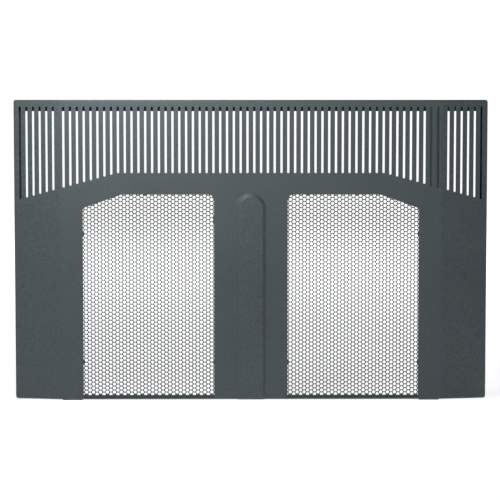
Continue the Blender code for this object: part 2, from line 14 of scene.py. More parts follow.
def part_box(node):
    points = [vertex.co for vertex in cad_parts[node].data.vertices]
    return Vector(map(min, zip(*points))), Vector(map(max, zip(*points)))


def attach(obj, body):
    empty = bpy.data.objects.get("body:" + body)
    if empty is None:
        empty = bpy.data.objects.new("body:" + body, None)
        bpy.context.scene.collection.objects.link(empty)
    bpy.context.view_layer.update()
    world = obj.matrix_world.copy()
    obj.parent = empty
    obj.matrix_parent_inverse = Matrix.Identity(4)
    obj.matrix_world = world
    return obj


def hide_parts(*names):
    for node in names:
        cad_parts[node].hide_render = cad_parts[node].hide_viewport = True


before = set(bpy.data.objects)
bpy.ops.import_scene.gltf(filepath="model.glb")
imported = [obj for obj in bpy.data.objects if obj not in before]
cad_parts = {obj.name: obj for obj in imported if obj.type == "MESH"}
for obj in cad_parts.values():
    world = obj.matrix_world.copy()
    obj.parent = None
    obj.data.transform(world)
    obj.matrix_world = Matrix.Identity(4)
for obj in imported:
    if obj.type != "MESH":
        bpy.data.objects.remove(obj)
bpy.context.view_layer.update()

bl_info = {
    "name": "Fireplace screen",
    "version": (1, 0, 0),
    "blender": (4, 5, 0),
    "location": "3D View > Sidebar > Screen",
    "description": "Builds a folded steel fireplace screen with perforated windows",
    "category": "Object",
}

PANEL_LOW, PANEL_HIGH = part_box("front_panel")
SIDES = (("left", -1), ("right", 1))
COAT_SLOT = "graphite_powder_coat"
SHEET_SLOT = "coated_perforated_steel"
ZINC_SLOT = "zinc_plated_steel"
RUBBER_SLOT = "black_rubber"

# Hardware sizes
PLAY = 0.0003  # clearance between pieces that touch
STUD_RADIUS = 0.0020
STUD_HOLE = STUD_RADIUS + PLAY
STUD_REACH = 0.0090
STRIP_BURR = 0.0003
THIN_BURR = 0.0002
WEB_BURR = 0.0001
LEG_BURR = 0.0006
PAD_BURR = 0.0004
THREAD_PITCH = 0.0007
THREAD_DEPTH = 0.0002
THREAD_LEAD = 0.0006  # length over which a stud's end tapers
THREAD_TAPER = 0.0005  # what the taper takes off a stud's radius
NUT_CHAMFER = 0.12  # share of a nut's height at each end
NUT_CHAMFER_SLOPE = 1.6
PIN_RADIUS = 0.0020
PIN_HEAD = 0.0035
PIN_HEAD_HEIGHT = 0.0015
PIN_RIM = 0.0005
PIN_EASE = 0.0004
BARREL_RADIUS = 0.0035
LEAF_THICKNESS = 0.0015
LEAF_ROOT = 0.0030  # pin's axis to the flat part of a leaf
LEAF_CORNER = 0.003
WEB_SPAN = (0.0025, 0.0053)  # pin's axis to both ends of the web from a knuckle to its leaf
RIVET_HEAD = 0.0031
RIVET_SHANK = 0.0016
RIVET_RISE = 0.0012
SMALL_CORNER = 0.002


def length(name, default, description):
    """A length in metres."""
    return FloatProperty(name=name, default=default, description=description, unit="LENGTH")


def angle(name, degrees, description):
    """An angle, given in degrees and kept in radians."""
    value = math.radians(degrees)
    return FloatProperty(name=name, default=value, description=description, subtype="ANGLE")


def colour(name, default, description):
    """A colour, as sRGB hex."""
    return StringProperty(name=name, default=default, description=description)


# Sizes and colours --------------------------------------------------------------------
class SheetSizes(bpy.types.PropertyGroup):
    """The folded front: its folds, returns and lips."""

    thickness: length("Thickness", 0.002, "Thickness of the folded sheet")
    fold_half: length("Fold", 0.377, "Middle of the panel to the fold of a wing")
    wing_width: length("Wing width", 0.0941, "Fold to the wing's outer edge")
    wing_angle: angle("Wing angle", 9.5, "How far a wing is bent back")
    fold_radius: length("Fold radius", 0.040, "Radius of the bend at a wing's fold")
    bend_radius: length("Bend radius", 0.003, "Outer radius of the bends round the edge")
    corner_radius: length("Corner radius", 0.005, "Radius of the front's four corners")
    return_depth: length("Return depth", 0.020, "Front face to the back of the returns")
    top_lip: length("Top lip", 0.0225, "Height of the lip behind the top edge")
    side_lip: length("Side lip", 0.017, "Width of the lip behind a side edge")
    base_lip: length("Base lip", 0.006, "Height of the lip behind the lower edge")
    burr: length("Cut edge", 0.0003, "Radius of the rounding on a punched edge")
    rib_half: length("Rib half width", 0.031, "Middle of the rib to the foot of its flank")
    rib_flank: length("Rib flank", 0.009, "Width of the rib's sloping flank")
    rib_height: length("Rib height", 0.005, "How far the rib stands forward")
    rib_crown: length("Rib crown", 0.003, "Top of the windows to the top of the rib")


class VentSizes(bpy.types.PropertyGroup):
    """The rows of slots along the top."""

    pitch: length("Pitch", 0.01345, "Distance from slot to slot")
    width: length("Width", 0.0044, "Width of a slot")
    per_half: IntProperty(name="Slots per half", default=28, description="Middle to fold")
    per_wing: IntProperty(name="Slots per wing", default=6, description="Slots in one wing")
    first: length("First wing slot", 0.0137, "Fold to the first slot of a wing")
    top_margin: length("Top margin", 0.0132, "Panel's top edge to the top of a slot")
    floor: length("Floor", 0.4505, "Height of the slots' lower ends above the lower edge")
    knee: length("Knee", 0.264, "Where the lower ends start to step down")
    slope: angle("Slope", 15, "Slope of the line of lower ends")


class WindowSizes(bpy.types.PropertyGroup):
    """The two windows and the perforated sheets behind them."""

    inner: length("Inner edge", 0.0727, "Middle of the panel to a window")
    outer: length("Outer edge", 0.333, "Middle of the panel to a window's far edge")
    top: length("Top", 0.4084, "Panel's lower edge to the top of a window")
    sill: length("Sill", 0.0035, "Panel's lower edge to the bottom of a window")
    knee: length("Knee", 0.256, "Where a window's top starts to slope down")
    slope: angle("Slope", 19.4, "Slope of a window's outer shoulder")
    corner: length("Corner", 0.012, "Radius of a window's upper corners")
    foot: length("Shoulder's foot", 0.008, "Radius where the shoulder meets the far edge")
    overlap: length("Overlap", 0.015, "How far the sheet reaches behind the panel")
    hole: length("Hole", 0.0066, "Diameter of a hole in the perforated sheet")
    pitch: length("Hole pitch", 0.008, "Distance from hole to hole")
    margin: length("Plain margin", 0.0065, "Sheet's edge to the middle of its outermost holes")


class FinishColours(bpy.types.PropertyGroup):
    """The finishes, as sRGB hex colours."""

    coat: colour("Coat", "#2B3336", "Graphite powder coat")
    coat_light: colour("Coat, light grains", "#444F53", "Grains of the coat that catch light")
    zinc: colour("Zinc", "#B4B8BB", "Zinc-plated steel")
    zinc_shade: colour("Zinc, shaded", "#94999D", "Zinc plate between its grains")
    rubber: colour("Rubber", "#1C1C1D", "Black rubber")
    stage: colour("Floor", "#F4F4F3", "Studio floor")


class StudioSizes(bpy.types.PropertyGroup):
    """Camera and lights."""

    lens: FloatProperty(name="Lens", default=144, description="Focal length in mm")
    distance: length("Distance", 3.951, "Camera to the panel's front face")
    height: length("Height", 0.600, "Camera above the panel's lower edge")
    offset: length("Offset", -0.0328, "Camera to the right of the panel's middle")
    turn: angle("Turn", 0.450, "Camera's heading, to the right of straight ahead")
    tilt: angle("Tilt", 4.367, "Camera's downward tilt")
    key: FloatProperty(name="Key light", default=9.0, description="Power in W")
    rear: FloatProperty(name="Back light", default=62, description="Power in W")
    glow: FloatProperty(name="Floor glow", default=0.75, description="Glow near the screen")
    cove: FloatProperty(name="Cove", default=0.25, description="What the glow gains further out")
    sky: FloatProperty(name="Ambient", default=0.03, description="Strength of ambient light")
    white: FloatProperty(name="White", default=1.05, description="Backdrop as the camera sees it")


# Surfaces from arrays -----------------------------------------------------------------
def grid_faces(rows, columns, closed):
    """Quads of a rows by columns grid of points; closed joins the last column to the first."""
    across = columns if closed else columns - 1
    row, column = np.meshgrid(np.arange(rows - 1), np.arange(across), indexing="ij")
    following = (column + 1) % columns
    corners = (
        row * columns + column,
        row * columns + following,
        (row + 1) * columns + following,
        (row + 1) * columns + column,
    )
    return np.stack(corners, -1).reshape(-1, 4)


def surface(points, closed=True):
    """A part from points of shape (rows, columns, 3)."""
    rows, columns = points.shape[:2]
    return points.reshape(-1, 3), grid_faces(rows, columns, closed)


def make_piece(name, parts, slot, body, nodes=(), sharp=35):
    """Puts parts of (points, faces) into one mesh, merges shared points and turns faces out."""
    starts = np.cumsum([0] + [len(points) for points, _ in parts[:-1]])
    points = np.concatenate([points for points, _ in parts])
    faces = []
    for (_, part), start in zip(parts, starts):
        faces += (part + start).tolist()
    mesh = bpy.data.meshes.new(name)
    mesh.from_pydata(points.tolist(), [], faces)
    bm = bmesh.new()
    bm.from_mesh(mesh)
    bmesh.ops.remove_doubles(bm, verts=bm.verts, dist=2e-6)
    bmesh.ops.recalc_face_normals(bm, faces=bm.faces)
    bm.to_mesh(mesh)
    bm.free()
    mesh.materials.append(finish_for(slot))
    mesh.shade_smooth()
    mesh.set_sharp_from_angle(angle=math.radians(sharp))
    made = bpy.data.objects.new(name, mesh)
    bpy.context.scene.collection.objects.link(made)
    even = made.modifiers.new("even_normals", "WEIGHTED_NORMAL")
    even.keep_sharp = True
    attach(made, body)
    if nodes:
        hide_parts(*nodes)


def loop_edges(loops):
    """Edges round each of several closed loops of points, numbered in one run."""
    starts = np.cumsum([0] + [len(loop) for loop in loops[:-1]])
    turns = [(np.arange(len(loop)), np.roll(np.arange(len(loop)), -1)) for loop in loops]
    return np.concatenate([np.stack(t, -1) + start for t, start in zip(turns, starts)])


def crossed(near, far, places):
    """How many of the edges from near to far lie to the right of each place.

    An edge counts if its ends lie on either side of the place's height y and it meets that
    height at x = near.x + (y - near.y) (far.x - near.x) / (far.y - near.y) beyond the place.
    """
    spans = (near[:, 1] > places[:, 1, None]) != (far[:, 1] > places[:, 1, None])
    rise = np.where(far[:, 1] == near[:, 1], 1.0, far[:, 1] - near[:, 1])
    across = near[:, 0] + (places[:, 1, None] - near[:, 1]) * (far[:, 0] - near[:, 0]) / rise
    return (spans & (across > places[:, 0, None])).sum(1)


def filled(points, edges, lines=()):
    """Flat points (n, 2) and triangles that fill the area inside edges, by the even-odd rule.

    Edges are rows of two point numbers. Lines are open rows of points that the triangles
    follow and don't stop at. A triangle is kept if a ray from its middle crosses the edges
    an odd number of times.
    """
    total = len(points)
    runs = []
    for line in lines:
        runs.append(np.stack([np.arange(len(line) - 1), np.arange(1, len(line))], -1) + total)
        total += len(line)
    given = np.concatenate([points, *lines]) if len(lines) else points
    wanted = np.concatenate([edges, *runs]) if len(lines) else edges
    flat = [Vector(point) for point in given]
    out, _, faces, origins, _, _ = delaunay_2d_cdt(flat, wanted.tolist(), [], 0, 1e-6)
    first = np.array([origin[0] if origin else -1 for origin in origins])
    placed = np.where((first >= 0)[:, None], given[first], np.array(out, float))
    triangles = np.array(faces)
    middle = placed[triangles].mean(1)
    crossings = crossed(points[edges[:, 0]], points[edges[:, 1]], middle)
    return placed, triangles[crossings % 2 == 1]


def inward(loop, distance):
    """Moves a closed loop to its left: each corner by d (a + b) / (1 + a . b), where a and b
    are the unit normals of the two sides that meet there."""
    along = np.roll(loop, -1, 0) - loop
    along /= np.linalg.norm(along, axis=1)[:, None]
    left = np.stack([-along[:, 1], along[:, 0]], -1)
    before = np.roll(left, 1, 0)
    mitre = (left + before) / (1 + (left * before).sum(1))[:, None]
    return loop + mitre * distance


def edge_profile(low, high, burr, steps=2):
    """Insets b (1 - sin t) and depths b (1 - cos t) of a cut edge: a quarter round of radius b
    at each face, and a flat wall between."""
    turn = np.linspace(0, np.pi / 2, steps + 1)
    inset, depth = burr * (1 - np.sin(turn)), burr * (1 - np.cos(turn))
    inset = np.concatenate([inset, inset[::-1]])
    return inset, np.concatenate([low + depth, high - depth[::-1]])


def plate(loops, low, high, burr, place, lines=()):
    """Parts of a flat plate between two depths. Loops have the metal on their left, and place
    turns rows of flat points and a depth into points in space."""
    inset, depth = edge_profile(low, high, burr)
    trimmed = [inward(loop, inset[0]) for loop in loops]
    flat, triangles = filled(np.concatenate(trimmed), loop_edges(trimmed), lines)
    parts = [(place(flat, low), triangles), (place(flat, high), triangles[:, ::-1])]
    for loop in loops:
        rows = [place(inward(loop, i), d) for i, d in zip(inset, depth)]
        parts.append(surface(np.stack(rows)))
    return parts


def arc(centre, radius, start, end, steps):
    """Points round part of a circle, c + r (cos t, sin t), between two angles in degrees."""
    turn = np.radians(np.linspace(start, end, steps + 1))
    return np.asarray(centre) + radius * np.stack([np.cos(turn), np.sin(turn)], -1)


def rounded(corners, radii, steps=8):
    """A closed outline with an arc of the given radius at each corner. Between directions u
    and v that are w apart the arc is (u sin((1 - k) w) + v sin(k w)) / sin w, k from 0 to 1."""
    pieces = []
    count = len(corners)
    for i, radius in enumerate(radii):
        here = np.array(corners[i], float)
        if radius <= 0:
            pieces.append(here[None])
            continue
        before = np.array(corners[i - 1]) - here
        after = np.array(corners[(i + 1) % count]) - here
        before, after = before / np.linalg.norm(before), after / np.linalg.norm(after)
        half = math.acos(np.clip(before @ after, -1, 1)) / 2
        reach = radius / math.tan(half)
        centre = here + (before + after) / np.linalg.norm(before + after) * radius / math.sin(half)
        start, end = here + before * reach - centre, here + after * reach - centre
        share = np.linspace(0, 1, steps + 1)[:, None]
        sweep = math.pi - 2 * half
        turned = (np.sin((1 - share) * sweep) * start + np.sin(share * sweep) * end)
        pieces.append(centre + turned / math.sin(sweep))
    return np.concatenate(pieces)


def turned(profile, centre, axis, sides=24):
    """A solid of revolution, (r cos t, r sin t) round an axis, from rows of (radius r,
    distance along the axis)."""
    radius, along = np.array(profile, float).T
    turn = np.linspace(0, 2 * np.pi, sides, endpoint=False)
    ring = np.stack([np.cos(turn), np.sin(turn)], -1)
    points = np.empty((len(radius), sides, 3))
    first, second = [k for k in range(3) if k != axis]
    points[..., first] = radius[:, None] * ring[:, 0]
    points[..., second] = radius[:, None] * ring[:, 1]
    points[..., axis] = along[:, None]
    return surface(points + np.asarray(centre))


def dome(radius, start, height, steps=5):
    """Rows of a low domed head from rim to pole: (r cos t, start + h sin t)."""
    turn = np.linspace(0, np.pi / 2, steps + 1)
    return list(zip(radius * np.cos(turn), start + height * np.sin(turn)))


def facing(flat, depth):
    """Flat (x, z) points placed at a depth y."""
    return np.stack([flat[:, 0], np.full(len(flat), depth), flat[:, 1]], -1)


def sideways(flat, depth):
    """Flat (y, z) points placed at a distance x."""
    return np.stack([np.full(len(flat), depth), flat[:, 0], flat[:, 1]], -1)


def lying(flat, height):
    """Flat (x, y) points placed at a height z."""
    return np.stack([flat[:, 0], flat[:, 1], np.full(len(flat), height)], -1)


def middle_of(node):
    """Middle of a node's box."""
    low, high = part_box(node)
    return np.array((low + high) / 2)


def mirrored(loop, side):
    """A loop drawn for the right-hand side, put on either side with the metal on its left."""
    return loop if side > 0 else (loop * (-1, 1))[::-1]


# Finishes -----------------------------------------------------------------------------
def linear(text):
    """An sRGB hex colour as linear red, green, blue and alpha."""
    channels = np.array([int(text[i : i + 2], 16) for i in (1, 3, 5)]) / 255
    low, high = channels / 12.92, ((channels + 0.055) / 1.055) ** 2.4
    return (*np.where(channels <= 0.04045, low, high), 1.0)


def add(tree, kind, values=None, links=None, **settings):
    """Adds a node with its settings, its sockets' values and the links into it."""
    node = tree.nodes.new(kind)
    for name, value in settings.items():
        setattr(node, name, value)
    for socket, value in (values or {}).items():
        node.inputs[socket].default_value = value
    for socket, source in (links or {}).items():
        tree.links.new(source, node.inputs[socket])
    return node


def blank(name):
    """A material with an empty node tree."""
    made = bpy.data.materials.new(name)
    made.use_nodes = True
    made.node_tree.nodes.clear()
    return made, made.node_tree


def grain(tree, millimetres, detail=2.0, roughness=0.5):
    """Noise whose lumps are about so many millimetres across."""
    place = add(tree, "ShaderNodeTexCoord").outputs["Object"]
    values = {"Scale": 1000 / millimetres, "Detail": detail, "Roughness": roughness}
    return add(tree, "ShaderNodeTexNoise", values, {"Vector": place}).outputs["Fac"]


def between(tree, source, low, high):
    """Stretches the middle of a noise, where nearly all of it lies, over low to high."""
    values = {"From Min": 0.3, "From Max": 0.7, "To Min": low, "To Max": high}
    node = add(tree, "ShaderNodeMapRange", values, {"Value": source})
    return node.outputs["Result"]


def blended(tree, source, dark, light):
    """A colour between two sRGB hex colours, by a noise."""
    share = between(tree, source, 0.0, 1.0)
    mix = add(tree, "ShaderNodeMix", links={"Factor": share}, data_type="RGBA")
    mix.inputs["A"].default_value = linear(dark)
    mix.inputs["B"].default_value = linear(light)
    return mix.outputs["Result"]


def finish_with(tree, values, links):
    """Ends a material in a Principled shader."""
    shader = add(tree, "ShaderNodeBsdfPrincipled", values, links)
    add(tree, "ShaderNodeOutputMaterial", links={"Surface": shader.outputs["BSDF"]})


def powder_coat(colours):
    """Polyester powder coat, sprayed and baked: matt graphite with a fine sandy grain over a
    soft orange peel, so it shows faint speckle and a broad, dull highlight."""
    made, tree = blank("graphite_powder_coat")
    # The real grit is about 0.3 mm. It is drawn at 2.2 mm so that it shows from the camera.
    sand = grain(tree, 2.2, 3.0, 0.6)
    peel = grain(tree, 9.0, 1.0)
    cloud = grain(tree, 180.0, 2.0)
    speckle = blended(tree, sand, colours.coat, colours.coat_light)
    tone = between(tree, cloud, 0.90, 1.06)
    shade = add(tree, "ShaderNodeHueSaturation", links={"Color": speckle, "Value": tone})
    rough = between(tree, peel, 0.50, 0.62)
    low = add(tree, "ShaderNodeBump", {"Strength": 0.25, "Distance": 0.0004}, {"Height": peel})
    links = {"Height": sand, "Normal": low.outputs["Normal"]}
    high = add(tree, "ShaderNodeBump", {"Strength": 0.35, "Distance": 0.0002}, links)
    finish_with(
        tree,
        {"Metallic": 0.0, "IOR": 1.5},
        {
            "Base Color": shade.outputs["Color"],
            "Roughness": rough,
            "Normal": high.outputs["Normal"],
        },
    )
    return made


def zinc_plate(colours):
    """Bright zinc electroplate on pressed or turned steel: a pale, slightly blotchy metal with
    fine drawn marks."""
    made, tree = blank("zinc_plated_steel")
    spangle = grain(tree, 2.5, 3.0)
    marks = grain(tree, 0.4, 2.0)
    tint = blended(tree, spangle, colours.zinc_shade, colours.zinc)
    bump = add(tree, "ShaderNodeBump", {"Strength": 0.2, "Distance": 0.0001}, {"Height": marks})
    finish_with(
        tree,
        {"Metallic": 1.0},
        {
            "Base Color": tint,
            "Roughness": between(tree, spangle, 0.26, 0.42),
            "Normal": bump.outputs["Normal"],
        },
    )
    return made


def black_rubber(colours):
    """Moulded EPDM rubber: near black, dull, with a fine bloom."""
    made, tree = blank("black_rubber")
    bloom = grain(tree, 1.2, 3.0)
    bump = add(tree, "ShaderNodeBump", {"Strength": 0.3, "Distance": 0.0001}, {"Height": bloom})
    finish_with(
        tree,
        {"Base Color": linear(colours.rubber), "Metallic": 0.0, "IOR": 1.52},
        {"Roughness": between(tree, bloom, 0.72, 0.88), "Normal": bump.outputs["Normal"]},
    )
    return made


FINISHES = {
    COAT_SLOT: powder_coat,
    SHEET_SLOT: powder_coat,
    ZINC_SLOT: zinc_plate,
    RUBBER_SLOT: black_rubber,
}


def finish_for(slot):
    """The material of one of the record's slots, made the first time that it is asked for."""
    maker = FINISHES[slot]
    found = bpy.data.materials.get(maker.__name__ + "_finish")
    if found is None:
        found = maker(bpy.context.scene.screen_colours)
        found.name = maker.__name__ + "_finish"
    return found


# The folded front ---------------------------------------------------------------------
class FrontPanel:
    """The front as a flat pattern of points (s, z), and how it folds into space."""

    def __init__(self, scene):
        """Finds the folds. An arc of radius r that turns by a takes r tan(a / 2) off the sheet
        on each side of its corner."""
        self.vent, self.window = scene.screen_vent, scene.screen_window
        self.sheet = sheet = scene.screen_sheet
        self.base, self.top = PANEL_LOW.z, PANEL_HIGH.z
        self.face = PANEL_LOW.y + sheet.rib_height
        trim = sheet.fold_radius * math.tan(sheet.wing_angle / 2)
        self.flat = sheet.fold_half - trim
        self.arc = sheet.fold_radius * sheet.wing_angle
        self.wing_start = self.flat + self.arc - trim
        self.edge = self.wing_start + sheet.wing_width
        self.rib_centre = self.base + self.window.top + sheet.rib_crown - sheet.rib_half

    def rib(self, s, z):
        """Height of the pressed rib, h k^2 (3 - 2 k), where k runs from 0 to 1 across its flank by
        the distance from the rib's middle line, which ends at the middle of its round top."""
        sheet = self.sheet
        away = np.hypot(s, np.maximum(z - self.rib_centre, 0))
        share = np.clip((sheet.rib_half - away) / sheet.rib_flank, 0, 1)
        return sheet.rib_height * share**2 * (3 - 2 * share)

    def fold(self, s, z, depth):
        """Flat pattern to space: straight across the middle, round an arc at each fold, straight
        out along the wing, and depth back along the sheet's own normal."""
        sheet = self.sheet
        reach = np.abs(s)
        turn = np.clip((reach - self.flat) / sheet.fold_radius, 0, sheet.wing_angle)
        beyond = np.maximum(reach - self.flat - self.arc, 0)
        x = np.minimum(reach, self.flat) + (sheet.fold_radius - depth) * np.sin(turn)
        x += beyond * np.cos(turn)
        y = sheet.fold_radius * (1 - np.cos(turn)) + beyond * np.sin(turn)
        y += depth * np.cos(turn)
        return np.stack([np.sign(s) * x, self.face + y, z + 0 * x], -1)

    def place(self, flat, depth):
        """Flat pattern to space, with the rib's height taken off the depth."""
        s, z = flat[..., 0], flat[..., 1]
        return self.fold(s, z, depth - self.rib(s, z))

    def slots(self):
        """Outlines of all slots: one capsule, stretched to each slot's two ends. A slot's lower
        end drops by (s - knee) tan(slope) beyond the knee."""
        vent = self.vent
        middle = vent.pitch * (np.arange(vent.per_half) + 0.5)
        wing = self.wing_start + vent.first + vent.pitch * np.arange(vent.per_wing)
        half = np.concatenate([middle, wing])
        drop = np.maximum(half - vent.knee, 0) * math.tan(vent.slope)
        s = np.concatenate([-half, half])
        radius = vent.width / 2
        low = self.base + vent.floor - np.concatenate([drop, drop]) + radius
        high = self.top - vent.top_margin - radius
        upper, lower = arc((0, 0), radius, 180, 0, 10), arc((0, 0), radius, 0, -180, 10)
        outline = np.concatenate([upper, lower])
        is_upper = np.arange(len(outline)) < len(upper)
        level = np.where(is_upper, high, low[:, None])
        return np.stack([s[:, None] + outline[:, 0], level + outline[:, 1]], -1)

    def windows(self):
        """Outlines of both windows, with the metal on their left."""
        outline = window_outline(self.window, self.base, 0.0, self.base + self.window.sill)
        return [mirrored(outline[::-1], side) for _, side in SIDES]

    def levels(self):
        """Distances from the rib's middle line at which the pattern follows its flank."""
        sheet = self.sheet
        return sheet.rib_half - sheet.rib_flank * np.linspace(0, 1, 9)

    def fold_lines(self):
        """Distances s at which the pattern follows the two arcs."""
        lines = self.flat + self.arc * np.linspace(0, 1, 9)
        return np.concatenate([-lines[::-1], lines])

    def border(self):
        """Stations round the face where its edge starts to bend: flat points and directions out.

        The path runs along the lower edge, up the right, back along the top and down the left.
        A station stands wherever the face is folded or the rib's flank meets the lower edge.
        Each corner is an arc along which the direction turns with it.
        """
        sheet = self.sheet
        low, high = self.base + sheet.bend_radius, self.top - sheet.bend_radius
        right = self.edge - sheet.bend_radius
        ease = sheet.corner_radius - sheet.bend_radius
        folds, levels = self.fold_lines(), self.levels()
        along = np.sort(np.concatenate([folds, levels, -levels]))
        points, out = [], []
        corners = ((right, low), (right, high), (-right, high), (-right, low))
        sides = (along, np.empty(0), np.sort(folds)[::-1], np.empty(0))
        for side, (ends, corner) in enumerate(zip(sides, corners)):
            level, way = (low, -1.0) if side == 0 else (high, 1.0)
            points.append(np.stack([ends, np.full(len(ends), level)], -1))
            out.append(np.tile([0, way], (len(ends), 1)))
            middle = np.array(corner) - ease * np.sign(np.array(corner) - (0, (low + high) / 2))
            turn = np.radians(np.linspace(-90, 0, 7) + 90 * side)
            ring = np.stack([np.cos(turn), np.sin(turn)], -1)
            points.append(middle + ease * ring)
            out.append(ring)
        return np.concatenate(points), np.concatenate(out)

    def face_parts(self, path):
        """The flat-pattern face, front and back, with the walls of its openings."""
        sheet = self.sheet
        low, high = path[:, 1].min(), path[:, 1].max()
        lines = [np.array([[s, low], [s, high]]) for s in self.fold_lines()]
        for radius in self.levels():
            crown = arc((0, self.rib_centre), radius, 0, 180, 24)
            lines.append(np.concatenate([[[radius, low]], crown, [[-radius, low]]]))
        openings = [*self.slots(), *self.windows()]
        inset, depth = edge_profile(0.0, sheet.thickness, sheet.burr)
        trimmed = [inward(loop, inset[0]) for loop in openings]
        loops = [path, *trimmed]
        flat, triangles = filled(np.concatenate(loops), loop_edges(loops), lines)
        parts = [
            (self.place(flat, 0.0), triangles),
            (self.place(flat, sheet.thickness), triangles[:, ::-1]),
        ]
        for loop in openings:
            rows = [self.place(inward(loop, i), d) for i, d in zip(inset, depth)]
            parts.append(surface(np.stack(rows)))
        return parts

    def rim_part(self, path, out):
        """The edge all round, as a hooked profile carried along the face's border.

        The profile runs outside the metal from the face round a bend, back along the return,
        round a second bend and along the lip, and inside it again. The lip ends on a rectangle
        set in from the edge, which mitres it at the corners.
        """
        sheet = self.sheet
        outer, depth = sheet.bend_radius, sheet.return_depth
        inner = outer - sheet.thickness
        quarter = np.radians(np.linspace(0, 90, 7))
        first = [(outer * np.sin(t), outer * (1 - np.cos(t))) for t in quarter]
        second = [(outer * np.cos(t), depth - outer + outer * np.sin(t)) for t in quarter]
        back = [(inner * np.cos(t), depth - outer + inner * np.sin(t)) for t in quarter[::-1]]
        last = [(inner * np.sin(t), outer - inner * np.cos(t)) for t in quarter[::-1]]

        def station_rows(offset, level):
            """The border moved out, at a depth. The rib's height fades towards the back."""
            flat = path + out * offset
            lift = self.rib(path[:, 0], path[:, 1]) * (1 - level / depth)
            return self.fold(flat[:, 0], flat[:, 1], level - lift)

        def lip_rows(level, short):
            """The border clipped to the rectangle that the lip ends on, at a depth."""
            reach = self.edge - sheet.side_lip + short
            s = np.clip(path[:, 0], -reach, reach)
            z_low, z_high = self.base + sheet.base_lip - short, self.top - sheet.top_lip + short
            return self.fold(s, np.clip(path[:, 1], z_low, z_high), np.full(len(s), level))

        rows = [station_rows(o, d) for o, d in (*first, *second)]
        burr, thickness = sheet.burr, sheet.thickness
        rows += [lip_rows(depth, burr), lip_rows(depth - burr, 0.0)]
        rows += [lip_rows(depth - thickness + burr, 0.0), lip_rows(depth - thickness, burr)]
        rows += [station_rows(o, d) for o, d in (*back, *last)]
        return surface(np.stack(rows))


def window_outline(window, base, grow, bottom):
    """Outline of the right-hand window, pushed out by grow, clockwise from its lower inner end."""
    top = base + window.top + grow
    inner, outer = window.inner - grow, window.outer + grow
    knee = window.knee + grow * math.tan(window.slope / 2)
    shoulder = top - (outer - knee) * math.tan(window.slope)
    corners = [(inner, bottom), (inner, top), (knee, top), (outer, shoulder), (outer, bottom)]
    upper, foot = window.corner + grow, window.foot + grow
    return rounded(corners, [0, upper, upper, foot, 0])


class SCREEN_OT_front_panel(bpy.types.Operator):
    """Builds the folded front with its slots, window openings and rib"""

    bl_idname = "screen.front_panel"
    bl_label = "Front panel"

    def execute(self, context):
        panel = FrontPanel(context.scene)
        path, out = panel.border()
        parts = [*panel.face_parts(path), panel.rim_part(path, out)]
        make_piece("folded_front", parts, COAT_SLOT, "screen", ["front_panel"])
        return {"FINISHED"}


# Perforated sheets --------------------------------------------------------------------
RING = 12  # points round a hole
STUD_ROOM = 0.62  # pitches of plain metal between a stud hole and the nearest cell's middle
MERGE = 1e-5  # points closer than this are one
MERGE_SHIFT = 0.37  # keeps points off the limits between two keys


def nuts_of(name):
    """Middles of the nuts that hold one perforated sheet, as (x, z)."""
    strips = ("inner", "outer", "top")
    nuts = [middle_of(f"{name}_{strip}_nut_{k}") for strip in strips for k in (1, 2)]
    return np.array(nuts)[:, [0, 2]]


